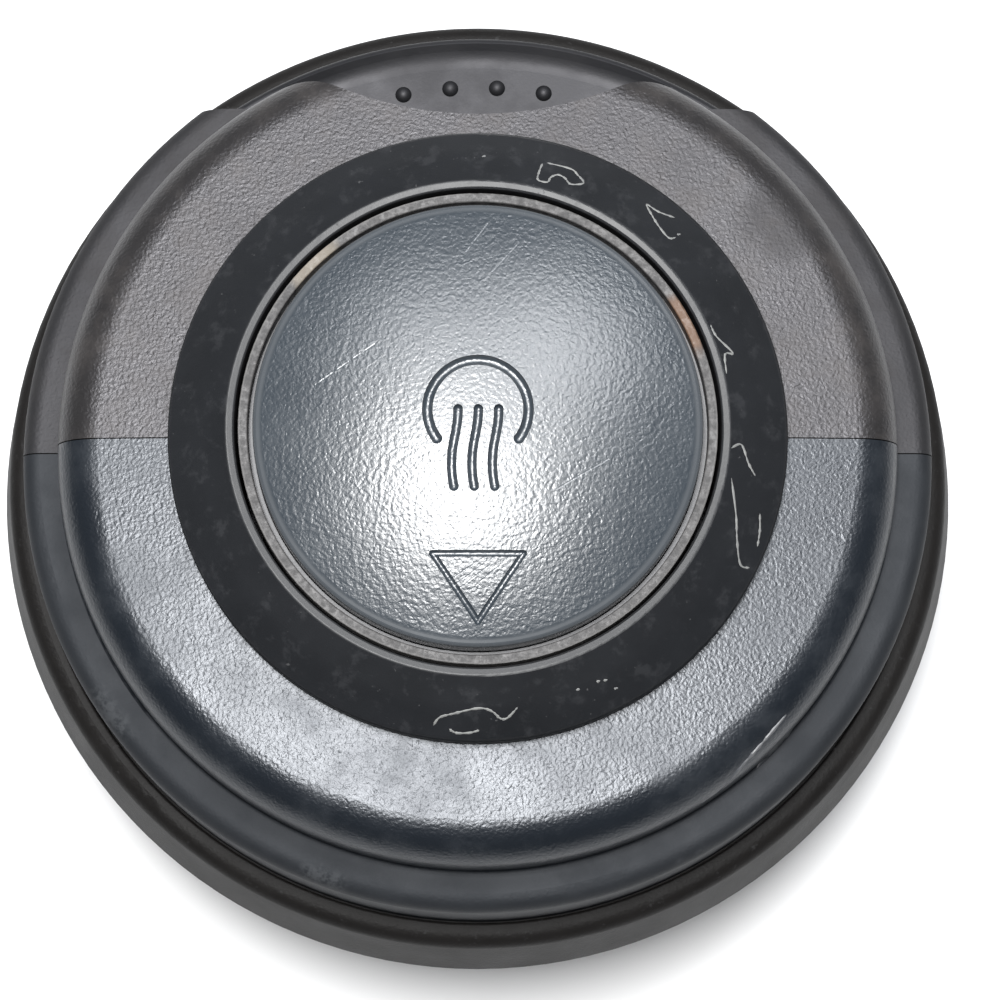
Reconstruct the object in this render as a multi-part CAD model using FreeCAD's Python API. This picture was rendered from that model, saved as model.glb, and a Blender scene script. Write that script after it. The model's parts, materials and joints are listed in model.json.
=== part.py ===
import FreeCAD, Part
import math
import os

# Push-button pour-through lid of an insulated jug.
# Millimetres.  +Z is up, -Y is the pouring side, +Y is the handle side.
# The origin is on the axis, on the underside of the stopper.

V = FreeCAD.Vector
UP = V(0, 0, 1)

# ---------------------------------------------------------------- driving dimensions
SEAT_Z = 24.0            # underside of the flange, level with the rim of the jug
FLANGE_R = 44.0          # outer radius of the flange at its foot
FLANGE_TOP_R = 42.3      # radius where the flange rounds over
LEDGE_Z = 34.0           # top of the flange
REBATE_R = 40.3          # the body shells drop into this circle
REBATE_Z = 32.0          # the shells stand on this floor
WEB_Z = 28.0             # underside of the web across the base ring
WEB_TOP_Z = 30.5
WEB_HOLE_R = 27.2
FLANGE_STEP_R = 33.0

WALL = 2.0               # wall of the body shells
BODY_R = 39.9            # lower drum of the body
BODY_TOP_Z = 44.5
CAP_R = 36.3             # upper drum of the body
CAP_TOP_Z = 51.9
CAP_DROP = 0.6           # fall of the top face from its hole to its shoulder
TOP_HOLE_R = 23.8
PARTING_GAP = 0.10       # slit between front and rear shell

SCALLOP_R = 30.6         # finger scallop in the upper drum
SCALLOP_Y = 59.3         # its centre, behind the lid
HORN_R = 6.0             # rounding where the scallop meets the drum
LIP_Z = 38.25            # top of the thumb lip
LIP_CREST_R = 39.35
DISH_Z = 37.3            # floor of the thumb dish
DISH_R = 38.1            # where the floor starts to ramp up to the lip
DISH_HALF_W = 15.5       # half width of the floor
DISH_MOUTH_HALF_W = 18.0  # half width at lip height
BUMP_R = 0.75
BUMP_PITCH = 4.27
BUMP_CIRCLE_R = 35.4
BUMP_SHIFT = -0.4        # the row stands a little to the left of the middle

BEZEL_R = 26.3
BEZEL_WALL_TOP_Z = 54.2
BEZEL_LIP_Z = 57.5
BEZEL_BORE_R = 20.45

SLEEVE_R = 20.15
SLEEVE_BORE_R = 18.95
SLEEVE_TOP_Z = 55.3
GUIDE_TOP_Z = 57.05
GUIDE_BORE_R = 19.35     # the pale band is 0.8 mm wide

BUTTON_R = 18.87
BUTTON_EDGE_Z = 58.3
BUTTON_TOP_Z = 60.9
BUTTON_WALL = 1.8
STROKE = 5.0

STEM_R = 3.0
STEM_HOLE_R = 3.08
PLUG_R = 27.0            # stopper tube, goes inside the neck of the jug
PLUG_BORE_R = 24.6
MOUTH_BORE_R = 24.2      # narrower below the valve seat, which stands on this ledge
SEAT_HOLE_R = 13.0
VALVE_SEAT_Z = 13.0

SHELL_SCREW_CIRCLE_R = 35.9
SLEEVE_SCREW_CIRCLE_R = 30.2
SCREW_ANGLES = (45, 135, 225, 315)

os.makedirs("parts", exist_ok=True)


# ---------------------------------------------------------------- small helpers
def save(shape, node):
    """Write one named piece as its own STEP file."""
    shape = shape.removeSplitter()
    shape.exportStep("parts/" + node + ".step")
    print("%-20s solids %d  volume %9.1f  valid %s"
          % (node, len(shape.Solids), shape.Volume, shape.isValid()))


def corner(before, here, after, radius):
    """Tangent points and middle of the arc that rounds one profile corner."""
    a = (before - here).normalize()
    b = (after - here).normalize()
    half = a.getAngle(b) / 2.0
    reach = radius / math.tan(half)
    start = here + a * reach
    end = here + b * reach
    bisector = (a + b).normalize()
    centre = here + bisector * (radius / math.sin(half))
    middle = centre - bisector * radius
    return start, middle, end


def outline(points, place):
    """Closed wire through points; a third number rounds that corner."""
    spots = [place(p[0], p[1]) for p in points]
    radii = [p[2] if len(p) > 2 else 0.0 for p in points]
    count = len(points)
    pieces = []
    for i in range(count):
        here = spots[i]
        if radii[i] > 0:
            pieces.append(corner(spots[i - 1], here, spots[(i + 1) % count], radii[i]))
        else:
            pieces.append((here, None, here))
    edges = []
    for i in range(count):
        start, middle, end = pieces[i]
        if middle is not None:
            edges.append(Part.Arc(start, middle, end).toShape())
        following = pieces[(i + 1) % count][0]
        if end.distanceToPoint(following) > 1e-6:
            edges.append(Part.makeLine(end, following))
    return Part.Wire(edges)


def turned(points, angle=360.0, start=0.0):
    """Solid of revolution about Z from (radius, height[, rounding]) points."""
    face = Part.Face(outline(points, lambda r, z: V(r, 0, z)))
    solid = face.revolve(V(0, 0, 0), UP, angle)
    if start:
        solid.rotate(V(0, 0, 0), UP, start)
    return solid


def prism(points, low, high):
    """Upright prism over a plan outline of (x, y[, rounding]) points."""
    face = Part.Face(outline(points, lambda x, y: V(x, y, low)))
    return face.extrude(V(0, 0, high - low))


def rod(radius, low, high, x=0.0, y=0.0):
    """Upright cylinder between two heights."""
    return Part.makeCylinder(radius, high - low, V(x, y, low))


def tube(inner, outer, low, high):
    """Plain ring between two radii and two heights."""
    return rod(outer, low, high).cut(rod(inner, low - 1, high + 1))


def o_ring(centre_r, cord_r, z):
    """Round-section seal ring."""
    return Part.makeTorus(centre_r, cord_r, V(0, 0, z))


def polar(radius, degrees):
    """Plan position at a radius and an angle from +X."""
    a = math.radians(degrees)
    return radius * math.cos(a), radius * math.sin(a)


def fillet_or_keep(solid, radius, wanted):
    """Round the edges that wanted() picks; a solid that cannot take it stays sharp."""
    edges = [e for e in solid.Edges if wanted(e)]
    try:
        rounded = solid.makeFillet(radius, edges)
        if rounded.isValid() and rounded.Volume > 0:
            return rounded
    except Exception:
        pass
    print("a rounding of", radius, "was left out")
    return solid


def half_space(side):
    """Everything in front of (-1) or behind (+1) the parting plane."""
    if side < 0:
        return Part.makeBox(120, 60, 80, V(-60, -60 - PARTING_GAP / 2, 0))
    return Part.makeBox(120, 60, 80, V(-60, PARTING_GAP / 2, 0))


# ---------------------------------------------------------------- base ring
def base_ring():
    """Flange with a web across it; the shells and the stopper are screwed to it."""
    ring = turned([
        (FLANGE_R, SEAT_Z, 0.2),
        (FLANGE_TOP_R, LEDGE_Z, 1.5),
        (REBATE_R, LEDGE_Z, 0.25),
        (REBATE_R, REBATE_Z),
        (FLANGE_STEP_R, REBATE_Z),
        (FLANGE_STEP_R, WEB_TOP_Z),
        (WEB_HOLE_R, WEB_TOP_Z),
        (WEB_HOLE_R, WEB_Z),
        (41.3, WEB_Z, 0.6),
        (41.3, SEAT_Z),
    ])
    for angle in SCREW_ANGLES:
        x, y = polar(SLEEVE_SCREW_CIRCLE_R, angle)
        ring = ring.fuse(rod(2.5, 24.8, WEB_Z + 0.5, x, y))
    for angle in SCREW_ANGLES:
        x, y = polar(SLEEVE_SCREW_CIRCLE_R, angle)
        ring = ring.cut(rod(1.35, 24.0, WEB_TOP_Z + 1, x, y))
        x, y = polar(SHELL_SCREW_CIRCLE_R, angle)
        ring = ring.cut(rod(2.9, WEB_Z - 1, 30.0, x, y))
        ring = ring.cut(rod(1.7, 29.0, REBATE_Z + 1, x, y))
    return ring


def rim_gasket():
    """Soft ring under the web that lies on the rim of the jug."""
    return turned([
        (36.6, WEB_Z),
        (40.6, WEB_Z),
        (40.6, 26.9, 0.3),
        (39.4, 26.9),
        (38.6, 26.2, 0.2),
        (37.8, 26.9),
        (36.6, 26.9, 0.3),
    ])


# ---------------------------------------------------------------- body shells
def drum_solid(inset):
    """Both drums of the body as one turned solid; inset moves its skin inwards."""
    shoulder = CAP_TOP_Z - CAP_DROP
    edge = 1.6 if inset == 0 else 0.5
    turn = 4.0 if inset == 0 else 2.2
    crease = 0.3 if inset == 0 else 1.5
    return turned([
        (0, 31.0),
        (BODY_R + 0.2 - inset, 31.0),
        (BODY_R + 0.2 - inset, REBATE_Z),
        (BODY_R - inset, BODY_TOP_Z - inset, edge),
        (CAP_R + 0.1 - inset, BODY_TOP_Z - inset, crease),
        (CAP_R - inset, shoulder - inset, turn),
        (TOP_HOLE_R - 1, CAP_TOP_Z - inset),
        (0, CAP_TOP_Z - inset),
    ])


def behind_scallop(inset, low, high):
    """Space behind the scalloped wall of the upper drum and the end of the lower drum."""
    horn = CAP_R - HORN_R
    reach = SCALLOP_R + HORN_R
    hy = (horn ** 2 + SCALLOP_Y ** 2 - reach ** 2) / (2 * SCALLOP_Y)
    hx = math.sqrt(horn ** 2 - hy ** 2)
    turn = HORN_R - inset
    wide = SCALLOP_R + inset

    def on_horn(direction, side):
        unit = V(direction.x, direction.y, 0).normalize()
        return V(side * (hx + turn * unit.x), hy + turn * unit.y, low)

    out = V(hx, hy, 0)
    back = V(-hx, SCALLOP_Y - hy, 0)
    middle = V(out).normalize() + V(back).normalize()
    join_out = [on_horn(out, s) for s in (-1, 1)]
    join_mid = [on_horn(middle, s) for s in (-1, 1)]
    join_in = [on_horn(back, s) for s in (-1, 1)]
    bottom = V(0, SCALLOP_Y - wide, low)
    far = 60.0
    edges = [
        Part.Arc(join_out[0], join_mid[0], join_in[0]).toShape(),
        Part.Arc(join_in[0], bottom, join_in[1]).toShape(),
        Part.Arc(join_in[1], join_mid[1], join_out[1]).toShape(),
        Part.makeLine(join_out[1], V(far, join_out[1].y, low)),
        Part.makeLine(V(far, join_out[1].y, low), V(far, far, low)),
        Part.makeLine(V(far, far, low), V(-far, far, low)),
        Part.makeLine(V(-far, far, low), V(-far, join_out[0].y, low)),
        Part.makeLine(V(-far, join_out[0].y, low), join_out[0]),
    ]
    return Part.Face(Part.Wire(edges)).extrude(V(0, 0, high - low))


def thumb_dish():
    """Shallow crescent between the scalloped wall and the thumb lip, ramped at rear and ends."""
    behind = behind_scallop(0, DISH_Z - 1, 60.0)
    bowl = turned([
        (0, DISH_Z),
        (DISH_R, DISH_Z, 2.5),
        (LIP_CREST_R, LIP_Z),
        (LIP_CREST_R, 60),
        (0, 60),
    ])
    section = outline([
        (-DISH_HALF_W, DISH_Z - 1),
        (DISH_HALF_W, DISH_Z - 1),
        (DISH_HALF_W, DISH_Z),
        (DISH_MOUTH_HALF_W, LIP_Z + 0.2),
        (DISH_MOUTH_HALF_W, 60),
        (-DISH_MOUTH_HALF_W, 60),
        (-DISH_MOUTH_HALF_W, LIP_Z + 0.2),
        (-DISH_HALF_W, DISH_Z),
    ], lambda x, z: V(x, 20, z))
    trough = Part.Face(section).extrude(V(0, 30, 0))
    return behind.common(bowl).common(trough)


def rear_solid(inset):
    """Drums with the rear cut down to the thumb lip."""
    solid = drum_solid(inset)
    if inset == 0:
        lip = turned([(0, 31.0), (BODY_R + 0.15, 31.0), (BODY_R, LIP_Z, 0.7), (0, LIP_Z)])
        solid = solid.cut(behind_scallop(0, 31.0, 60.0).cut(lip))
        return solid.cut(thumb_dish())
    under = turned([(0, 30.0), (BODY_R - inset, 30.0), (BODY_R - inset, DISH_Z - 1.8, 0.5),
                    (0, DISH_Z - 1.8)])
    return solid.cut(behind_scallop(inset, 31.0, 60.0).cut(under))


def shell(side):
    """Front (-1) or rear (+1) body shell with its two screw bosses."""
    if side > 0:
        outer = rear_solid(0)
        inner = rear_solid(WALL)
    else:
        outer = drum_solid(0)
        inner = drum_solid(WALL)
    floor = rod(60, 20, REBATE_Z)
    part = outer.cut(inner).cut(rod(TOP_HOLE_R, 40, 60)).cut(floor)
    for angle in SCREW_ANGLES:
        x, y = polar(SHELL_SCREW_CIRCLE_R, angle)
        if y * side < 0:
            continue
        post = rod(2.5, REBATE_Z, BODY_TOP_Z - 1.0, x, y)
        part = part.fuse(post)
        part = part.cut(rod(1.5, REBATE_Z - 1, 41.0, x, y))
    if side > 0:
        for step in (-1.5, -0.5, 0.5, 1.5):
            x = step * BUMP_PITCH + BUMP_SHIFT
            y = math.sqrt(BUMP_CIRCLE_R ** 2 - x ** 2)
            part = part.fuse(Part.makeSphere(BUMP_R, V(x, y, DISH_Z - 0.1)))
    return part.common(half_space(side))


def insulation_ring():
    """Foam collar that fills the hollow round the button sleeve."""
    return turned([(21.0, 36.6, 0.5), (26.0, 36.6, 0.5), (26.0, 46.6, 1.0), (21.0, 46.6, 0.5)])


# ---------------------------------------------------------------- bezel
def bezel_ring():
    """Conical ring round the button, held by three bayonet lugs under the shells."""
    bottom = CAP_TOP_Z + 0.05
    ring = turned([
        (BEZEL_R, bottom, 0.15),
        (BEZEL_R, BEZEL_WALL_TOP_Z, 0.7),
        (23.85, 55.95, 12.0),
        (21.15, BEZEL_LIP_Z, 0.35),
        (BEZEL_BORE_R, BEZEL_LIP_Z - 0.1, 0.2),
        (BEZEL_BORE_R, 47.0),
        (22.0, 47.0, 0.3),
        (22.0, 55.2, 0.5),
        (24.6, 53.2, 0.5),
        (24.6, bottom),
    ])
    for start in (75, 195, 315):
        lug = turned([(21.8, 48.2), (24.5, 48.2, 0.3), (24.5, 49.6), (21.8, 49.6)], 30, start)
        ring = ring.fuse(lug)
    return ring


def bezel_o_ring():
    """Seal between the bezel tube and the hole in the shells."""
    return o_ring(22.9, 0.72, 50.95)


# ---------------------------------------------------------------- sleeve
def guide_sleeve():
    """Inner tube that guides the button, with its floor, stem boss and flange."""
    body = turned([
        (STEM_HOLE_R, 24.0),
        (6.0, 24.0, 0.3),
        (6.0, 28.0),
        (24.4, 28.0, 0.4),
        (24.4, 33.0),
        (32.8, 33.0),
        (32.8, 34.6, 0.4),
        (SLEEVE_R, 34.6, 0.8),
        (SLEEVE_R, SLEEVE_TOP_Z),
        (SLEEVE_BORE_R, SLEEVE_TOP_Z),
        (SLEEVE_BORE_R, 30.0, 0.8),
        (6.0, 30.0, 0.5),
        (6.0, 34.0, 0.3),
        (STEM_HOLE_R, 34.0),
    ])
    body = body.cut(rod(5.2, 23.0, 26.6))
    groove = tube(22.9, 25.0, 29.6, 31.4)
    body = body.cut(groove)
    for angle in SCREW_ANGLES:
        x, y = polar(SLEEVE_SCREW_CIRCLE_R, angle)
        body = body.cut(rod(1.6, 32.0, 36.0, x, y))
    return body


def button_guide_ring():
    """Pale ring on top of the sleeve; its edge shows round the button."""
    return turned([
        (GUIDE_BORE_R, SLEEVE_TOP_Z),
        (SLEEVE_R, SLEEVE_TOP_Z),
        (SLEEVE_R, GUIDE_TOP_Z, 0.15),
        (GUIDE_BORE_R, GUIDE_TOP_Z, 0.15),
    ])


def partition_seal():
    """Seal between the sleeve and the stopper."""
    return o_ring(23.74, 0.80, 30.5)


def stem_seal():
    """Seal round the stem, under the floor of the sleeve."""
    return o_ring(4.1, 0.98, 25.4)


def seal_retainer():
    """Cup pushed over the stem boss; it keeps the stem seal in place."""
    return turned([
        (3.3, 22.6, 0.2),
        (7.3, 22.6, 0.5),
        (7.3, 26.8, 0.2),
        (6.05, 26.8),
        (6.05, 23.9),
        (3.3, 23.9),
    ])


# ---------------------------------------------------------------- button
DOME_R = ((BUTTON_R - 0.6) ** 2 + (BUTTON_TOP_Z - BUTTON_EDGE_Z) ** 2) \
    / (2 * (BUTTON_TOP_Z - BUTTON_EDGE_Z))


def dome_z(x, y):
    """Height of the button's face above a plan position."""
    return BUTTON_TOP_Z - DOME_R + math.sqrt(DOME_R ** 2 - x * x - y * y)


def dome_ball(radius):
    """Ball whose top is the dome; its seam and poles lie away from the button's face."""
    centre = V(0, 0, BUTTON_TOP_Z - DOME_R)
    ball = Part.makeSphere(radius, centre)
    ball.rotate(centre, V(0, 1, 0), 90)
    return ball


def groove_along(points, radius):
    """Round-bottomed cutter that follows the dome through plan points.

    Its round ends are a hair wider than the groove, so the two never meet tangentially.
    """
    spots = [V(x, y, dome_z(x, y) + 0.02) for x, y in points]
    curve = Part.BSplineCurve()
    curve.interpolate(spots)
    path = Part.Wire(curve.toShape())
    first = curve.tangent(curve.FirstParameter)[0]
    disc = Part.Wire(Part.makeCircle(radius, spots[0], first))
    cutter = path.makePipeShell([disc], True, True)
    for spot in (spots[0], spots[-1]):
        cutter = cutter.fuse(Part.makeSphere(radius + 0.012, spot))
    return cutter


def pour_symbol():
    """Open ring with three flowing lines, and a triangle that points to the spout."""
    cutters = []
    ring_y = 0.65
    ring_r = 4.2
    opening = 36
    steps = 12
    arc = []
    for k in range(steps + 1):
        x, y = polar(ring_r, 180 + opening - k * (180 + 2 * opening) / steps)
        arc.append((x, y + ring_y))
    cutters.append(groove_along(arc, 0.44))
    wave = [(0.0, 0.65), (-0.04, -0.25), (-0.24, -1.5), (-0.46, -2.75), (-0.53, -3.95),
            (-0.34, -5.8)]
    for shift in (-1.65, 0.03, 1.72):
        cutters.append(groove_along([(shift + dx, y) for dx, y in wave], 0.40))
    corners = [(-3.75, -11.3), (3.75, -11.3), (0.0, -16.8)]
    for k in range(3):
        a = corners[k]
        b = corners[(k + 1) % 3]
        halfway = ((a[0] + b[0]) / 2, (a[1] + b[1]) / 2)
        cutters.append(groove_along([a, halfway, b], 0.29))
    return cutters


def button_cap():
    """Domed press button with the pour symbol sunk into its face."""
    low = BUTTON_EDGE_Z - 6.3
    outer = rod(BUTTON_R, low, 70).common(dome_ball(DOME_R))
    outer = fillet_or_keep(outer, 0.45, lambda e: abs(e.BoundBox.ZMax - e.BoundBox.ZMin) < 0.01
                           and e.BoundBox.ZMax > low + 1)
    hollow = rod(BUTTON_R - 1.7, low - 1, 70).common(dome_ball(DOME_R - BUTTON_WALL))
    cap = outer.cut(hollow)
    for cutter in pour_symbol():
        cap = cap.cut(cutter)
    return cap


def button_carrier():
    """Guide disc under the cap: slides in the sleeve and holds the stem."""
    carrier = turned([
        (1.6, 52.0),
        (15.2, 52.0),
        (15.2, 56.5, 0.3),
        (16.95, 56.5, 0.3),
        (16.95, 52.0),
        (BUTTON_R, 52.0),
        (BUTTON_R, 50.0, 0.3),
        (8.1, 50.0),
        (8.1, 47.5, 0.3),
        (6.9, 47.5, 0.3),
        (6.9, 50.0),
        (5.5, 50.0),
        (5.5, 44.0, 0.3),
        (3.02, 44.0),
        (3.02, 50.5),
        (1.6, 50.5),
    ])
    for k in range(6):
        rib = Part.makeBox(7.6, 1.2, 2.2, V(8.0, -0.6, 52.0))
        rib.rotate(V(0, 0, 0), UP, 60 * k)
        carrier = carrier.fuse(rib)
    return carrier


def return_spring():
    """Compression spring between the sleeve floor and the guide disc."""
    wire = 0.6
    mean = 10.0
    low = 30.0 + wire + 0.05
    high = 50.0 - wire - 0.05
    turns = 5.5
    helix = Part.makeLongHelix((high - low) / turns, high - low, mean)
    helix.translate(V(0, 0, low))
    disc = Part.Wire(Part.makeCircle(wire, V(mean, 0, low), V(0, 1, 0)))
    coil = Part.Wire(helix.Edges).makePipeShell([disc], True, True)
    return coil


# ---------------------------------------------------------------- stem and valve
def stem():
    """Push rod from the button to the valve."""
    body = turned([
        (0, 6.0),
        (2.3, 6.0, 0.4),
        (2.3, 12.9),
        (STEM_R, 12.9),
        (STEM_R, 50.4),
        (0, 50.4),
    ])
    return body.cut(rod(1.4, 42.5, 51.0))


def stem_screw():
    """Pan-head screw that pulls the stem into the guide disc."""
    screw = turned([(0, 43.0), (1.35, 43.0, 0.3), (1.35, 52.0), (3.0, 52.0), (3.0, 53.7, 0.6),
                    (0, 53.7)])
    return screw.cut(cross_slot(0, 0, 53.0, 54.5))


def cross_slot(x, y, low, high):
    """Cross recess for a screwdriver."""
    long_way = Part.makeBox(3.2, 0.7, high - low, V(x - 1.6, y - 0.35, low))
    short_way = Part.makeBox(0.7, 3.2, high - low, V(x - 0.35, y - 1.6, low))
    return long_way.fuse(short_way)


def valve_plate():
    """Disc that carries the valve gasket and closes the seat from below."""
    return turned([
        (2.33, 9.4),
        (20.6, 9.4, 0.5),
        (20.6, 12.0, 0.3),
        (19.6, 12.0),
        (19.6, 11.4),
        (12.4, 11.4),
        (12.4, 12.9, 0.4),
        (2.33, 12.9),
    ])


def valve_gasket():
    """Flat silicone ring pressed up against the seat."""
    return turned([
        (12.5, 11.42),
        (19.5, 11.42),
        (19.5, 12.5, 0.3),
        (16.4, 12.5),
        (15.6, 12.96, 0.2),
        (14.6, 12.96, 0.2),
        (13.9, 12.5),
        (12.5, 12.5, 0.3),
    ])


def valve_nut():
    """Hexagon nut that holds the valve plate on the stem."""
    across_corners = 4.6
    points = [polar(across_corners, 60 * k) for k in range(6)]
    nut = prism([(x, y) for x, y in points], 7.0, 9.38)
    return nut.cut(rod(2.33, 6.0, 10.0))


# ---------------------------------------------------------------- stopper
def thread_ramp(start):
    """One start of the coarse thread that turns into the neck of the jug."""
    pitch = 18.0
    rise = 4.5
    helix = Part.makeHelix(pitch, rise, PLUG_R)
    z = 10.5
    corners = [V(PLUG_R - 0.6, 0, -1.3), V(PLUG_R + 1.5, 0, -0.5),
               V(PLUG_R + 1.5, 0, 0.5), V(PLUG_R - 0.6, 0, 1.3)]
    section = Part.makePolygon(corners + [corners[0]])
    ramp = Part.Wire(helix.Edges).makePipeShell([section], True, True)
    ramp.translate(V(0, 0, z))
    ramp.rotate(V(0, 0, 0), UP, start)
    return ramp


def stopper_body():
    """Open tube that plugs the neck, with pour window, vent window and thread."""
    body = turned([
        (MOUTH_BORE_R, 0, 0.4),
        (PLUG_R, 0, 0.8),
        (PLUG_R, 3.0),
        (25.7, 3.0),
        (25.7, 6.0),
        (PLUG_R, 6.0),
        (PLUG_R, WEB_TOP_Z),
        (32.8, WEB_TOP_Z, 0.3),
        (32.8, 33.0),
        (PLUG_BORE_R, 33.0),
        (PLUG_BORE_R, VALVE_SEAT_Z),
        (MOUTH_BORE_R, VALVE_SEAT_Z),
    ])
    for start in (10, 130, 250):
        body = body.fuse(thread_ramp(start))
    pour = turned([(23.0, 20.5), (29.0, 20.5), (29.0, 26.5), (23.0, 26.5)], 70, 235)
    vent = turned([(23.0, 20.5), (29.0, 20.5), (29.0, 26.5), (23.0, 26.5)], 24, 78)
    body = body.cut(pour).cut(vent)
    for angle in SCREW_ANGLES:
        x, y = polar(SLEEVE_SCREW_CIRCLE_R, angle)
        body = body.cut(rod(1.6, 30.0, 34.0, x, y))
    return body


def valve_seat():
    """Ring welded on its ledge inside the tube; the valve closes against its underside."""
    return turned([
        (SEAT_HOLE_R, VALVE_SEAT_Z, 0.3),
        (PLUG_BORE_R - 0.05, VALVE_SEAT_Z),
        (PLUG_BORE_R - 0.05, 17.5, 0.3),
        (23.3, 17.5, 0.3),
        (23.3, 15.0, 0.8),
        (SEAT_HOLE_R, 15.0, 0.8),
    ])


def neck_seal():
    """Silicone ring with two soft lips that seals the stopper in the neck."""
    return turned([
        (25.75, 3.05),
        (27.3, 3.05, 0.2),
        (29.0, 3.5, 0.25),
        (27.8, 4.2),
        (27.8, 4.7),
        (29.0, 5.3, 0.25),
        (27.3, 5.95, 0.2),
        (25.75, 5.95),
    ])


# ---------------------------------------------------------------- screws
def shell_screws():
    """Four screws from below, through the base ring into the shell bosses."""
    screws = []
    for angle in SCREW_ANGLES:
        x, y = polar(SHELL_SCREW_CIRCLE_R, angle)
        screw = turned([(0, 28.3), (2.6, 28.3, 0.6), (2.6, 30.0), (1.45, 30.0),
                        (1.45, 39.5, 0.4), (0, 39.5)])
        screw = screw.cut(cross_slot(0, 0, 27.0, 29.1))
        screw.translate(V(x, y, 0))
        screws.append(screw)
    return Part.makeCompound(screws)


def sleeve_screws():
    """Four screws from above, through sleeve and stopper into the base ring."""
    screws = []
    for angle in SCREW_ANGLES:
        x, y = polar(SLEEVE_SCREW_CIRCLE_R, angle)
        screw = turned([(0, 25.2), (1.3, 25.2, 0.4), (1.3, 34.6), (2.4, 34.6), (2.4, 36.1, 0.6),
                        (0, 36.1)])
        screw = screw.cut(cross_slot(0, 0, 35.4, 37.0))
        screw.translate(V(x, y, 0))
        screws.append(screw)
    return Part.makeCompound(screws)


# ---------------------------------------------------------------- write every piece
save(base_ring(), "base_ring")
save(rim_gasket(), "rim_gasket")
save(shell(-1), "front_shell")
save(shell(1), "rear_shell")
save(insulation_ring(), "insulation_ring")
save(bezel_ring(), "bezel_ring")
save(bezel_o_ring(), "bezel_o_ring")
save(guide_sleeve(), "guide_sleeve")
save(button_guide_ring(), "button_guide_ring")
save(partition_seal(), "partition_seal")
save(stem_seal(), "stem_seal")
save(seal_retainer(), "seal_retainer")
save(button_cap(), "button_cap")
save(button_carrier(), "button_carrier")
save(return_spring(), "return_spring")
save(stem(), "stem")
save(stem_screw(), "stem_screw")
save(valve_plate(), "valve_plate")
save(valve_gasket(), "valve_gasket")
save(valve_nut(), "valve_nut")
save(stopper_body(), "stopper_body")
save(valve_seat(), "valve_seat")
save(neck_seal(), "neck_seal")
save(shell_screws(), "shell_screws")
save(sleeve_screws(), "sleeve_screws")
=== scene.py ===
import json
import math
import bpy
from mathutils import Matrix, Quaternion, Vector


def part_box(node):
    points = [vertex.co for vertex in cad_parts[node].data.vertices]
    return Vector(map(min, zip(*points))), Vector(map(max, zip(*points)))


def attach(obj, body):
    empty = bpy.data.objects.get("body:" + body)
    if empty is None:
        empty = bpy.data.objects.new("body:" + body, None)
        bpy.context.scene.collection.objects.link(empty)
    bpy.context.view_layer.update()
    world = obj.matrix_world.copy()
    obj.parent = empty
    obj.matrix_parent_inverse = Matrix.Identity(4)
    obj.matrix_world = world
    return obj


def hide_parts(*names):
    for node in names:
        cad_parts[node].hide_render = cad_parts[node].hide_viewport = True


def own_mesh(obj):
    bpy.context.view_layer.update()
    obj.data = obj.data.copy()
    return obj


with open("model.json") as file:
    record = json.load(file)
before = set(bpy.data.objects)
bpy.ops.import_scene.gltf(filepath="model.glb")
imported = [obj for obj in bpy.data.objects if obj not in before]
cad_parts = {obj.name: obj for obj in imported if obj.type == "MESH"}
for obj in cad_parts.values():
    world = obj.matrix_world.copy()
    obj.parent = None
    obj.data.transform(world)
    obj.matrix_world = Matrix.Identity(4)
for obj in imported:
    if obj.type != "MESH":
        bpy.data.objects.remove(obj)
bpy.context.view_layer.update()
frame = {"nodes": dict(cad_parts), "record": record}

MM = 0.001
NODES = frame["nodes"]

# places on the colour Mix node, whose sockets for colours share their names with those for numbers
MIX_SHARE = 0
MIX_FIRST = 6
MIX_SECOND = 7
MIX_COLOUR = 2


def plan_radius(node):
    """Outer radius in millimetres of a round CAD node that stands on the axis."""
    low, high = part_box(node)
    return (high.x - low.x) / 2 / MM


# heights and distances from the axis, in millimetres
BUTTON_RADIUS = plan_radius("button_cap")
GUIDE_RADIUS = plan_radius("button_guide_ring")
BEZEL_BORE = 20.45
LOWER_DRUM_TOP = 44.5
LIP_TOP = 38.25
DISH_FRONT = 30.4


# ------------------------------------------------------------------ shader maths
class Signal:
    """One shader output. Sums and products of signals add the nodes that work them out."""

    def __init__(self, finish, socket):
        self.finish = finish
        self.socket = socket

    def maths(self, operation, *values):
        return self.finish.node("ShaderNodeMath", {"operation": operation}, values)

    def __add__(self, other):
        return self.maths("ADD", self, other)

    def __radd__(self, other):
        return self.maths("ADD", other, self)

    def __sub__(self, other):
        return self.maths("SUBTRACT", self, other)

    def __rsub__(self, other):
        return self.maths("SUBTRACT", other, self)

    def __mul__(self, other):
        return self.maths("MULTIPLY", self, other)

    def __rmul__(self, other):
        return self.maths("MULTIPLY", other, self)

    def __truediv__(self, other):
        return self.maths("DIVIDE", self, other)

    def __rtruediv__(self, other):
        return self.maths("DIVIDE", other, self)

    def most(self, other):
        return self.maths("MAXIMUM", self, other)

    def least(self, other):
        return self.maths("MINIMUM", self, other)

    def root(self):
        return self.maths("SQRT", self)

    def ramp(self, low, high, start, end):
        """Smooth change from start to end as the signal goes from low to high."""
        settings = {"interpolation_type": "SMOOTHSTEP", "clamp": True}
        values = {"Value": self, "From Min": low, "From Max": high, "To Min": start, "To Max": end}
        return self.finish.node("ShaderNodeMapRange", settings, values)

    def rise(self, low, high):
        """0 up to low and 1 from high on."""
        return self.ramp(low, high, 0.0, 1.0)

    def fall(self, low, high):
        """1 up to low and 0 from high on."""
        return self.ramp(low, high, 1.0, 0.0)


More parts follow.
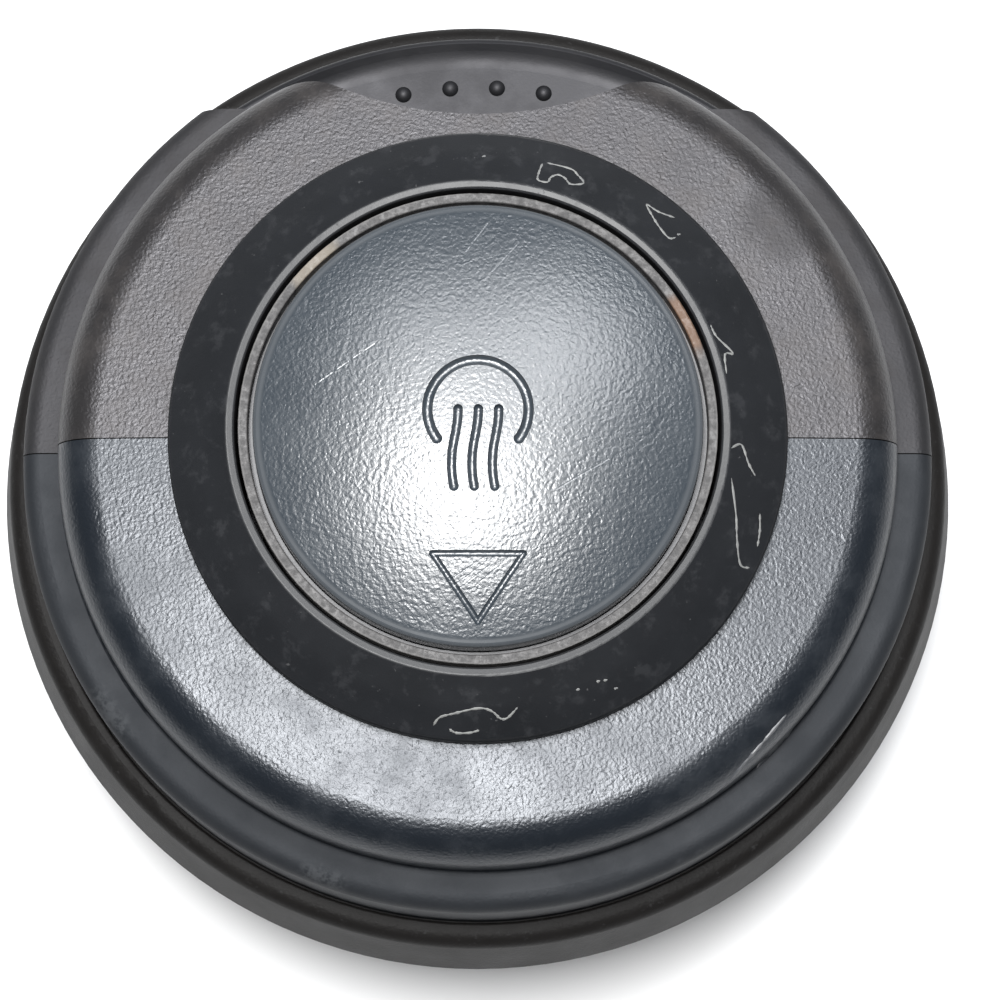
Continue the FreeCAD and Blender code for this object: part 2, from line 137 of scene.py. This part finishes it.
class Mixture:
    """Nodes that are added to one node tree."""

    def __init__(self, tree):
        self.tree = tree

    def node(self, kind, settings=None, sockets=None, output=0):
        made = self.tree.nodes.new(kind)
        for key, value in (settings or {}).items():
            setattr(made, key, value)
        pairs = sockets.items() if isinstance(sockets, dict) else enumerate(sockets or ())
        for key, value in pairs:
            self.feed(made.inputs[key], value)
        return Signal(self, made.outputs[output])

    def feed(self, socket, value):
        if isinstance(value, Signal):
            self.tree.links.new(value.socket, socket)
        else:
            socket.default_value = value

    def vector(self, operation, first, others):
        return self.node("ShaderNodeVectorMath", {"operation": operation}, {0: first, **others})

    def split(self, place):
        """The three coordinates of a place."""
        made = self.node("ShaderNodeSeparateXYZ", None, [place]).socket.node
        return [Signal(self, socket) for socket in made.outputs]

    def tint(self, amount, first, second):
        """Colour between first and second."""
        return self.node("ShaderNodeMix", {"data_type": "RGBA", "clamp_factor": True},
                         {MIX_SHARE: amount, MIX_FIRST: first, MIX_SECOND: second}, MIX_COLOUR)


class Finish(Mixture):
    """A surface finish being mixed: a node material with one principled shader."""

    def __init__(self, name):
        self.material = bpy.data.materials.new(name)
        self.material.use_nodes = True
        super().__init__(self.material.node_tree)
        self.shader = self.tree.nodes["Principled BSDF"]
        metres = self.node("ShaderNodeTexCoord", output="Object")
        self.place = self.vector("SCALE", metres, {"Scale": 1 / MM})

    def from_axis(self):
        """Distance in millimetres from the lid's axis."""
        x, y, height = self.split(self.place)
        return (x * x + y * y).root()

    def noise(self, scale, detail=2.0, roughness=0.5, where=None, shift=0.0):
        """Cloudy noise from 0 to 1, in features per millimetre. A shift gives other clouds."""
        spot = where or self.place
        if shift:
            spot = self.vector("ADD", spot, {1: (shift, shift * 0.7, shift * 1.3)})
        return self.node("ShaderNodeTexNoise", None,
                         {"Vector": spot, "Scale": scale, "Detail": detail, "Roughness": roughness})

    def wobble(self, scale, reach):
        """The place, pushed about by up to reach millimetres."""
        cloud = self.node("ShaderNodeTexNoise", None,
                          {"Vector": self.place, "Scale": scale, "Detail": 2.0}, "Color")
        centred = self.vector("SUBTRACT", cloud, {1: (0.5, 0.5, 0.5)})
        pushed = self.vector("SCALE", centred, {"Scale": reach * 2.0})
        return self.vector("ADD", self.place, {1: pushed})

    def cells(self, scale, where=None, feature="F1"):
        """Distance in a pattern of cells, in cells per millimetre."""
        return self.node("ShaderNodeTexVoronoi", {"feature": feature},
                         {"Vector": where or self.place, "Scale": scale})

    def stroke(self, start, end, where=None):
        """Distance in millimetres, seen from above, from the line between two plan points."""
        place_x, place_y, height = self.split(where or self.place)
        x = place_x - start[0]
        y = place_y - start[1]
        along = (end[0] - start[0], end[1] - start[1])
        length_squared = along[0] ** 2 + along[1] ** 2
        share = ((x * along[0] + y * along[1]) / length_squared).most(0.0).least(1.0)
        across_x = x - share * along[0]
        across_y = y - share * along[1]
        return (across_x * across_x + across_y * across_y).root()

    def bump(self, height, depth):
        """Normal of a surface raised by height times depth millimetres."""
        return self.node("ShaderNodeBump", None,
                         {"Height": height, "Distance": depth * MM, "Strength": 1.0})

    def done(self, **sockets):
        """The finished material, with values or signals on the shader's named sockets."""
        for key, value in sockets.items():
            self.feed(self.shader.inputs[key.replace("_", " ")], value)
        return self.material


def shade(red, green, blue):
    """A colour with full alpha."""
    return (red, green, blue, 1.0)


# ------------------------------------------------------------------ finishes
def grained_shell(name, dark, dusty, cast, roughness, lower_dullness, relief):
    """Black moulded plastic with a soft leather grain, worn and scuffed in places."""
    f = Finish(name)
    x, behind, height = f.split(f.place)
    warped = f.wobble(1.6, 0.20)
    pebbles = 1.0 - f.cells(3.4, warped, "SMOOTH_F1")
    hills = f.noise(3.6, 2.0, 0.5, warped)
    fine = f.noise(9.0, 2.0, 0.6)
    lower_drum = height.fall(LOWER_DRUM_TOP, LOWER_DRUM_TOP + 0.4)
    on_top = height.rise(LOWER_DRUM_TOP - 2.5, LOWER_DRUM_TOP - 0.9)
    in_dish = behind.rise(DISH_FRONT, DISH_FRONT + 1.0) * height.fall(LIP_TOP + 0.35, LIP_TOP + 2.25)
    smooth = (in_dish * 0.85).most(lower_drum * 0.35)
    grain = (pebbles * 0.55 + hills * 0.85) * (1.0 - smooth) + fine * 0.10
    dust = f.noise(0.20, 4.0, 0.65).rise(0.42, 0.72)
    patch = f.noise(0.07, 3.0, 0.6, shift=31.0).rise(0.42, 0.62)
    dull_spot = f.stroke((25.0, 19.5), (26.5, 18.5), f.wobble(0.3, 1.6)).fall(1.2, 4.0)
    scuff = f.stroke((17.8, -37.0), (20.2, -35.6), f.wobble(0.8, 0.9)).fall(0.5, 2.0)
    rub_low = f.stroke((-14.4, -36.5), (-12.2, -37.4), f.wobble(1.4, 0.6)).fall(0.2, 1.5)
    rub_left = f.stroke((-32.6, -21.5), (-30.6, -24.2), f.wobble(1.4, 0.6)).fall(0.2, 1.4)
    rubbed = scuff.most(rub_low).most(rub_left) * on_top * f.noise(1.1, 3.0, 0.7).rise(0.38, 0.62)
    base = f.tint(dust, dark, dusty)
    # The dish is painted darker here: painted shade in the recess.
    base = f.tint(in_dish * 0.8, base, shade(0.009, 0.009, 0.010))
    # The lower drum is painted darker here: painted shade on the tier below the crease.
    base = f.tint(lower_drum * 0.6, base, shade(0.0050, 0.0056, 0.0066))
    base = f.tint(rubbed * 0.35, base, shade(0.07, 0.073, 0.077))
    rough = roughness + dust * 0.07 + patch * 0.05 + dull_spot * 0.16 + rubbed * 0.10 + fine * 0.05
    rough = rough - in_dish * 0.12 + lower_drum * lower_dullness
    return f.done(Base_Color=base, Roughness=rough, Normal=f.bump(grain, relief),
                  Specular_IOR_Level=0.40, Specular_Tint=cast)


def smooth_bezel():
    """Satin black cone with faint drying marks and specks, and a painted highlight round its bore."""
    f = Finish("satin_black_bezel")
    clouds = f.noise(0.16, 4.0, 0.65)
    fine = f.noise(6.0, 2.0, 0.6)
    specks = f.noise(1.5, 2.0, 0.7, shift=12.0).rise(0.70, 0.77)
    smears = f.noise(0.5, 4.0, 0.7, shift=53.0).rise(0.52, 0.70)
    lip_highlight = f.from_axis().fall(BEZEL_BORE + 0.5, BEZEL_BORE + 0.9)
    base = f.tint(clouds, shade(0.0050, 0.0055, 0.0065), shade(0.0100, 0.0110, 0.0130))
    base = f.tint(smears * 0.30, base, shade(0.030, 0.031, 0.034))
    base = f.tint(specks * 0.30, base, shade(0.12, 0.12, 0.12))
    # The ring round the bore is painted lighter: a painted highlight.
    base = f.tint(lip_highlight * 0.15, base, shade(0.06, 0.06, 0.06))
    rough = 0.42 + clouds * 0.10 + smears * 0.06 + specks * 0.2 - lip_highlight * 0.06
    return f.done(Base_Color=base, Roughness=rough, Normal=f.bump(fine, 0.006),
                  Specular_IOR_Level=0.30)


def pale_guide():
    """Grey ring with ground-in dirt, a brown stain on the right, a beige one on the left and a painted
    highlight round its outer rim.
    """
    f = Finish("dirty_grey_guide")
    grime = f.noise(1.6, 4.0, 0.7).rise(0.32, 0.70)
    edge = f.from_axis().rise(GUIDE_RADIUS - 0.20, GUIDE_RADIUS - 0.05)
    worn = f.wobble(0.6, 0.8)
    brown = f.stroke((18.0, 7.6), (17.0, 9.8), worn).fall(0.5, 2.2)
    beige = f.stroke((-14.6, 13.2), (-13.2, 14.6), worn).fall(0.5, 2.0)
    base = f.tint(grime, shade(0.070, 0.067, 0.066), shade(0.034, 0.033, 0.033))
    # The outer rim is painted lighter: a painted highlight.
    base = f.tint(edge * 0.55, base, shade(0.19, 0.185, 0.18))
    base = f.tint(brown * 0.8, base, shade(0.115, 0.062, 0.034))
    base = f.tint(beige * 0.6, base, shade(0.20, 0.17, 0.13))
    rough = 0.52 + grime * 0.2
    return f.done(Base_Color=base, Roughness=rough, Normal=f.bump(grime, 0.035))


def press_button():
    """Blue-black button face: fine pebble texture, light gloss, hairline scratches and a painted highlight
    round its rim.
    """
    f = Finish("pebbled_button")
    pebble = f.cells(3.0, f.wobble(1.6, 0.28), "SMOOTH_F1")
    fine = f.noise(6.5, 2.0, 0.6)
    mottle = f.noise(0.3, 4.0, 0.65)
    face = f.from_axis().fall(BUTTON_RADIUS - 0.87, BUTTON_RADIUS - 0.52)
    lines = [((-13.5, 3.0), (-8.5, 6.4)), ((1.2, 12.6), (3.4, 15.2)),
             ((-1.0, 14.4), (0.8, 17.0)), ((6.5, -6.0), (10.8, -3.4))]
    for offset in (-0.9, -0.35, 0.1, 0.75):
        start = (-1.5 + offset, -14.0 - 0.5 * offset)
        end = (0.9 + offset, -12.2 - 0.3 * offset)
        lines.append((start, end))
    nearest = f.stroke(*lines[0])
    for line in lines[1:]:
        nearest = nearest.least(f.stroke(*line))
    scratch = nearest.fall(0.02, 0.09) * f.noise(1.3, 2.0, 0.6).rise(0.35, 0.55)
    base = f.tint(mottle, shade(0.016, 0.022, 0.029), shade(0.029, 0.036, 0.043))
    # Outside the face mask the rim is painted lighter: a painted highlight round the button.
    base = f.tint((1.0 - face) * 0.45, base, shade(0.085, 0.09, 0.095))
    base = f.tint(scratch * 0.45, base, shade(0.20, 0.21, 0.22))
    rough = 0.27 + mottle * 0.08 - (1.0 - face) * 0.04
    relief = (pebble + fine * 0.45) * face - scratch * 0.5
    return f.done(Base_Color=base, Roughness=rough, Normal=f.bump(relief, 0.030),
                  Specular_IOR_Level=0.80)


def dull_flange():
    """Brown-black flange, matt with handling dirt."""
    f = Finish("dull_black_flange")
    clouds = f.noise(0.18, 4.0, 0.65)
    fine = f.noise(3.0, 3.0, 0.6)
    specks = f.noise(1.2, 3.0, 0.7, shift=7.0).rise(0.62, 0.74)
    base = f.tint(clouds, shade(0.0050, 0.0046, 0.0044), shade(0.011, 0.010, 0.0095))
    base = f.tint(specks * 0.35, base, shade(0.045, 0.045, 0.046))
    rough = 0.46 + clouds * 0.18 + specks * 0.1
    return f.done(Base_Color=base, Roughness=rough, Normal=f.bump(fine, 0.045),
                  Specular_IOR_Level=0.12)


def dried_film():
    """Pale rim of a dried drop."""
    f = Finish("dried_drop_rim")
    clouds = f.noise(1.0, 3.0, 0.7)
    fine = f.noise(5.0, 2.0, 0.6)
    base = f.tint(clouds, shade(0.075, 0.078, 0.082), shade(0.25, 0.25, 0.235))
    return f.done(Base_Color=base, Roughness=0.5 + clouds * 0.2, Normal=f.bump(fine, 0.02))


def torn_burr():
    """Plastic pushed up along a knock in the drum's edge."""
    f = Finish("torn_black_burr")
    clouds = f.noise(0.9, 3.0, 0.7)
    base = f.tint(clouds, shade(0.030, 0.032, 0.036), shade(0.070, 0.073, 0.080))
    return f.done(Base_Color=base, Roughness=0.36 + clouds * 0.15, Normal=f.bump(clouds, 0.04))


def plain_plastic(name, light, dark, rough):
    """Ordinary moulded plastic for the hidden pieces."""
    f = Finish(name)
    clouds = f.noise(0.25, 3.0, 0.6)
    fine = f.noise(4.0, 2.0, 0.6)
    return f.done(Base_Color=f.tint(clouds, dark, light), Roughness=rough + clouds * 0.12,
                  Normal=f.bump(fine, 0.012))


def sealing_rubber(name, light, dark):
    """Soft seal with a dry surface."""
    f = Finish(name)
    clouds = f.noise(0.5, 3.0, 0.6)
    fine = f.noise(5.0, 3.0, 0.7)
    return f.done(Base_Color=f.tint(clouds, dark, light), Roughness=0.62 + clouds * 0.15,
                  Normal=f.bump(fine, 0.02))


def drawn_steel():
    """Stainless wire and screws."""
    f = Finish("drawn_steel")
    stretched = f.vector("MULTIPLY", f.place, {1: (1.0, 1.0, 9.0)})
    lines = f.noise(1.4, 3.0, 0.6, stretched)
    return f.done(Base_Color=f.tint(lines, shade(0.42, 0.42, 0.43), shade(0.62, 0.62, 0.63)),
                  Roughness=0.24 + lines * 0.18, Normal=f.bump(lines, 0.008), Metallic=1.0)


def packed_foam():
    """Bead foam."""
    f = Finish("bead_foam")
    beads = f.cells(0.45)
    return f.done(Base_Color=f.tint(beads, shade(0.80, 0.79, 0.75), shade(0.62, 0.61, 0.57)),
                  Roughness=0.8 + beads * 0.1, Normal=f.bump(beads, 0.25))


# Both shells are one plastic: the front's colours are painted darker and bluer as painted shade, the
# rear's lighter and warmer as painted light; the dust in each is real.
front_finish_painted_shade = grained_shell(
    "grained_front_shell",
    dark=shade(0.0075, 0.0095, 0.0125),
    dusty=shade(0.0150, 0.0175, 0.0210),
    cast=shade(0.92, 0.95, 1.0),
    roughness=0.28,
    lower_dullness=0.36,
    relief=0.038,
)
rear_finish_painted_light = grained_shell(
    "grained_rear_shell",
    dark=shade(0.0150, 0.0140, 0.0140),
    dusty=shade(0.0300, 0.0270, 0.0255),
    cast=shade(0.97, 0.955, 1.0),
    roughness=0.36,
    lower_dullness=0.22,
    relief=0.056,
)
seal_grey = sealing_rubber("grey_silicone", shade(0.46, 0.46, 0.45), shade(0.34, 0.34, 0.33))
seal_black = sealing_rubber("black_rubber", shade(0.035, 0.035, 0.036), shade(0.02, 0.02, 0.02))
inner_plastic = plain_plastic(
    "inner_plastic", light=shade(0.085, 0.085, 0.09), dark=shade(0.06, 0.06, 0.064), rough=0.42)
stopper_plastic = plain_plastic(
    "stopper_plastic", light=shade(0.05, 0.05, 0.053), dark=shade(0.034, 0.034, 0.036), rough=0.38)
steel = drawn_steel()

WEARS = {
    "front_shell": front_finish_painted_shade,
    "rear_shell": rear_finish_painted_light,
    "bezel_ring": smooth_bezel(),
    "button_guide_ring": pale_guide(),
    "button_cap": press_button(),
    "base_ring": dull_flange(),
    "insulation_ring": packed_foam(),
    "rim_gasket": seal_grey,
    "neck_seal": seal_grey,
    "valve_gasket": seal_grey,
    "bezel_o_ring": seal_black,
    "partition_seal": seal_black,
    "stem_seal": seal_black,
    "guide_sleeve": inner_plastic,
    "seal_retainer": inner_plastic,
    "button_carrier": inner_plastic,
    "stem": inner_plastic,
    "valve_plate": inner_plastic,
    "valve_nut": inner_plastic,
    "stopper_body": stopper_plastic,
    "valve_seat": stopper_plastic,
    "return_spring": steel,
    "stem_screw": steel,
    "shell_screws": steel,
    "sleeve_screws": steel,
}
for name, finish in WEARS.items():
    slots = NODES[name].data.materials
    for place in range(len(slots)):
        slots[place] = finish


# ------------------------------------------------------------------ return spring
STEPS_PER_TURN = 48
WIRE_SIDES = 12
WIRE_RADIUS = 0.6 * MM
COIL_TURNS = 5.5


def show(name, corners, faces, finish):
    """A new piece from its corners and faces, in one finish."""
    mesh = bpy.data.meshes.new(name)
    mesh.from_pydata(corners, [], faces)
    mesh.materials.append(finish)
    piece = bpy.data.objects.new(name, mesh)
    bpy.context.scene.collection.objects.link(piece)
    return piece


def coil(name, mean_radius, low, high, finish):
    """Round-wire compression spring standing on the axis, sizes in metres."""
    rings = int(COIL_TURNS * STEPS_PER_TURN) + 1
    corners = []
    for ring in range(rings):
        angle = 2 * math.pi * ring / STEPS_PER_TURN
        rise = low + (high - low) * ring / (rings - 1)
        for side in range(WIRE_SIDES):
            turn = 2 * math.pi * side / WIRE_SIDES
            reach = mean_radius + WIRE_RADIUS * math.cos(turn)
            corners.append((reach * math.cos(angle), reach * math.sin(angle),
                            rise + WIRE_RADIUS * math.sin(turn)))
    last = (rings - 1) * WIRE_SIDES
    faces = [tuple(range(WIRE_SIDES)), tuple(reversed(range(last, last + WIRE_SIDES)))]
    for ring in range(rings - 1):
        for side in range(WIRE_SIDES):
            here = ring * WIRE_SIDES + side
            beside = ring * WIRE_SIDES + (side + 1) % WIRE_SIDES
            faces.append((here, here + WIRE_SIDES, beside + WIRE_SIDES, beside))
    spring = show(name, corners, faces, finish)
    spring.data.polygons.foreach_set("use_smooth", [True] * len(faces))
    return spring


(spring_left, _, spring_foot), (spring_right, _, spring_top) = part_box("return_spring")
spring_radius = (spring_right - spring_left) / 2 - WIRE_RADIUS
joints = {joint["name"]: joint for joint in frame["record"]["behaviour"]["joints"]}
stroke = joints["button_press"]["range_m"][1]
free_height = spring_top - spring_foot
spring = coil("spring_coil", spring_radius, spring_foot + WIRE_RADIUS, spring_top - WIRE_RADIUS, steel)
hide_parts("return_spring")
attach(spring, "lid_body")
(free_height - stroke) / free_height
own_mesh(spring)


# ------------------------------------------------------------------ marks of use
PATH_STEPS = 6        # steps of a path from each of its points to the next
ABOVE_ALL = 0.1       # a height above the whole lid, in metres
SUNK = 0.03           # a ridge's two feet lie this far under the surface, in millimetres


def flowing(spots):
    """Smooth plan path through a few points."""
    path = []
    last = len(spots) - 1
    for k in range(last):
        before = Vector(spots[max(k - 1, 0)])
        here = Vector(spots[k])
        there = Vector(spots[k + 1])
        after = Vector(spots[min(k + 2, last)])
        for step in range(PATH_STEPS):
            t = step / PATH_STEPS
            leave = (there - before) * 0.5
            arrive = (after - here) * 0.5
            path.append(here * (2 * t ** 3 - 3 * t ** 2 + 1) + leave * (t ** 3 - 2 * t ** 2 + t)
                        + there * (3 * t ** 2 - 2 * t ** 3) + arrive * (t ** 3 - t ** 2))
    path.append(Vector(spots[last]))
    return path


def drop_onto(node, x, y):
    """Height in millimetres of a CAD node's upper surface above a plan position."""
    piece = NODES[node]
    inverse = piece.matrix_world.inverted()
    start = inverse @ Vector((x * MM, y * MM, ABOVE_ALL))
    way = inverse.to_3x3() @ Vector((0, 0, -1))
    hit, place = piece.ray_cast(start, way)[:2]
    return (piece.matrix_world @ place).z / MM if hit else None


def raised_line(name, node, spots, width, height, finish):
    """Thin uneven ridge that follows a path over a CAD node's surface, in millimetres."""
    path = flowing(spots)
    corners = []
    rings = 0
    for k, here in enumerate(path):
        ahead = path[min(k + 1, len(path) - 1)] - path[max(k - 1, 0)]
        side = Vector((-ahead.y, ahead.x)).normalized()
        uneven = 0.72 + 0.28 * math.sin(2.1 * k + spots[0][0]) * math.sin(0.83 * k)
        taper = min(1.0, 0.35 + 0.5 * min(k, len(path) - 1 - k))
        reach = side * (0.5 * width * uneven * taper)
        row = ((here - reach, -SUNK), (here, height * uneven * taper), (here + reach, -SUNK))
        ground = [drop_onto(node, spot.x, spot.y) for spot, raised in row]
        if None in ground:
            continue
        for (spot, raised), level in zip(row, ground):
            corners.append((spot.x * MM, spot.y * MM, (level + raised) * MM))
        rings += 1
    faces = [(0, 1, 2), (3 * rings - 1, 3 * rings - 2, 3 * rings - 3)]
    for k in range(rings - 1):
        first = 3 * k
        for near, far in ((0, 1), (1, 2), (2, 0)):
            faces.append((first + near, first + near + 3, first + far + 3, first + far))
    piece = show(name, corners, faces, finish)
    piece.data.validate()
    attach(piece, "lid_body")


FILM_RIMS = {
    "drop_rim_back": [(5.9, 23.1), (7.9, 22.6), (8.5, 22.0), (9.0, 21.2), (7.9, 21.0), (7.4, 21.6),
                      (6.8, 21.9), (6.2, 21.6), (5.9, 21.1), (5.1, 21.3), (5.2, 22.1), (5.5, 23.0)],
    "drop_rim_right_back": [(16.8, 18.5), (15.4, 18.9), (14.4, 19.5), (14.8, 18.5), (15.4, 17.4),
                            (16.2, 16.4), (16.8, 16.5)],
    "drop_rim_right": [(19.6, 8.6), (20.1, 7.6), (21.5, 6.3), (20.8, 6.1), (20.9, 4.4)],
    "drop_rim_right_long": [(21.2, -2.0), (22.1, -1.6), (22.7, -3.1), (23.3, -4.1)],
    "drop_rim_right_low": [(21.2, -4.5), (21.6, -7.5), (21.7, -9.6), (22.0, -11.5), (22.8, -11.7)],
    "drop_rim_right_outer": [(23.7, -7.2), (23.7, -8.6), (23.5, -9.9)],
    "drop_rim_front": [(-3.7, -25.0), (-3.2, -24.4), (-2.0, -24.1), (0.0, -23.7), (1.1, -23.9),
                       (1.9, -24.5), (2.5, -24.4), (3.3, -23.6)],
    "drop_rim_front_low": [(-2.4, -25.3), (-1.8, -25.6), (-0.7, -25.6), (0.1, -25.4)],
}
SPECK_HALF = 0.16
FILM_WIDTH = 0.40
SPECK_WIDTH = 0.42
FILM_HEIGHT = 0.05
SPECKS = ((8.3, -22.2), (10.0, -21.5), (10.6, -21.4), (11.5, -22.0), (0.5, 23.6), (17.1, 16.8))
KNOCK = [(19.0, -30.9), (20.9, -29.5), (22.6, -27.6), (24.4, -25.6), (26.1, -23.6)]
KNOCK_LOW = [(24.0, -27.6), (25.6, -25.9), (27.0, -24.4)]

film = dried_film()
for name, spots in FILM_RIMS.items():
    raised_line(name, "bezel_ring", spots, FILM_WIDTH, FILM_HEIGHT, film)
for number, (x, y) in enumerate(SPECKS, 1):
    ends = [(x - SPECK_HALF, y), (x + SPECK_HALF, y + 0.1)]
    raised_line("drop_speck_%d" % number, "bezel_ring", ends, SPECK_WIDTH, FILM_HEIGHT, film)
burr = torn_burr()
raised_line("knock_ridge", "front_shell", KNOCK, 0.42, 0.20, burr)
raised_line("knock_ridge_low", "front_shell", KNOCK_LOW, 0.35, 0.16, burr)


# ------------------------------------------------------------------ floor, light, camera
def floor_under(size):
    """Pale floor that the lid stands on."""
    half = size / 2
    corners = [(-half, -half, 0), (half, -half, 0), (half, half, 0), (-half, half, 0)]
    f = Finish("pale_floor")
    clouds = f.noise(0.02, 2.0, 0.5)
    base = f.tint(clouds, shade(0.60, 0.60, 0.60), shade(0.62, 0.62, 0.62))
    finish = f.done(Base_Color=base, Roughness=0.7 + clouds * 0.1)
    show("floor", corners, [(0, 1, 2, 3)], finish)


def panel_light(name, centre, size_x, size_y, power, colour):
    """Rectangular soft light aimed at the upper part of the lid."""
    data = bpy.data.lights.new(name, "AREA")
    data.shape = "RECTANGLE"
    data.size = size_x
    data.size_y = size_y
    data.energy = power
    data.color = colour
    lamp = bpy.data.objects.new(name, data)
    bpy.context.scene.collection.objects.link(lamp)
    lamp.location = centre
    aim = Vector((0, 0, AIM_HEIGHT)) - Vector(centre)
    lamp.rotation_euler = aim.to_track_quat("-Z", "Y").to_euler()


def soft_room():
    """Even surroundings, darker in front and cooler behind."""
    world = bpy.data.worlds.new("soft_room")
    bpy.context.scene.world = world
    world.use_nodes = True
    room = Mixture(world.node_tree)
    towards = room.node("ShaderNodeTexCoord", output="Generated")
    x, behind, height = room.split(towards)
    share = room.node("ShaderNodeMapRange", None, {"Value": behind, "From Min": -0.9, "From Max": 0.9})
    colour = room.tint(share, shade(0.05, 0.05, 0.055), shade(0.15, 0.17, 0.20))
    ground = room.tree.nodes["Background"]
    room.feed(ground.inputs["Color"], colour)
    room.feed(ground.inputs["Strength"], 0.8)


def look_from(elevation, distance, middle, aside, lens):
    """Camera in front of the lid, on the pouring side, high above it, turned a little aside."""
    data = bpy.data.cameras.new("camera")
    data.sensor_width = 36.0
    data.lens = lens
    data.clip_start = 0.01
    data.clip_end = 20.0
    camera = bpy.data.objects.new("camera", data)
    bpy.context.scene.collection.objects.link(camera)
    back = Vector((0, -math.cos(elevation), math.sin(elevation)))
    turn = Quaternion((0, 1, 0), -math.atan2(aside, distance))
    camera.location = middle + distance * back
    camera.rotation_euler = ((-back).to_track_quat("-Z", "Y") @ turn).to_euler()
    bpy.context.scene.camera = camera


# metres, apart from the lens, whose length is in millimetres, and the powers, in watts
FLOOR_SIZE = 6.0
AIM_HEIGHT = 0.05
WHITE = (1.0, 1.0, 1.0)
COOL = (0.95, 0.97, 1.0)
floor_under(FLOOR_SIZE)
soft_room()
panel_light("ceiling_panel", (-0.050, -0.005, 0.95), 0.30, 0.18, 16.0, WHITE)
panel_light("left_panel", (-0.16, 0.40, 0.90), 0.22, 0.22, 2.4, COOL)
panel_light("right_panel", (0.22, 0.38, 0.90), 0.30, 0.30, 4.6, COOL)
bpy.context.scene.view_settings.view_transform = "Standard"

ELEVATION = math.radians(80.0)
DISTANCE = 0.317
LENS = 122.1
FLANGE_FOOT = 24 * MM
BELOW_MIDDLE = 0.50 * MM
ASIDE = 2.06 * MM
MIDDLE = Vector((0, -BELOW_MIDDLE * math.sin(ELEVATION), FLANGE_FOOT - BELOW_MIDDLE * math.cos(ELEVATION)))
look_from(ELEVATION, DISTANCE, MIDDLE, ASIDE, LENS)
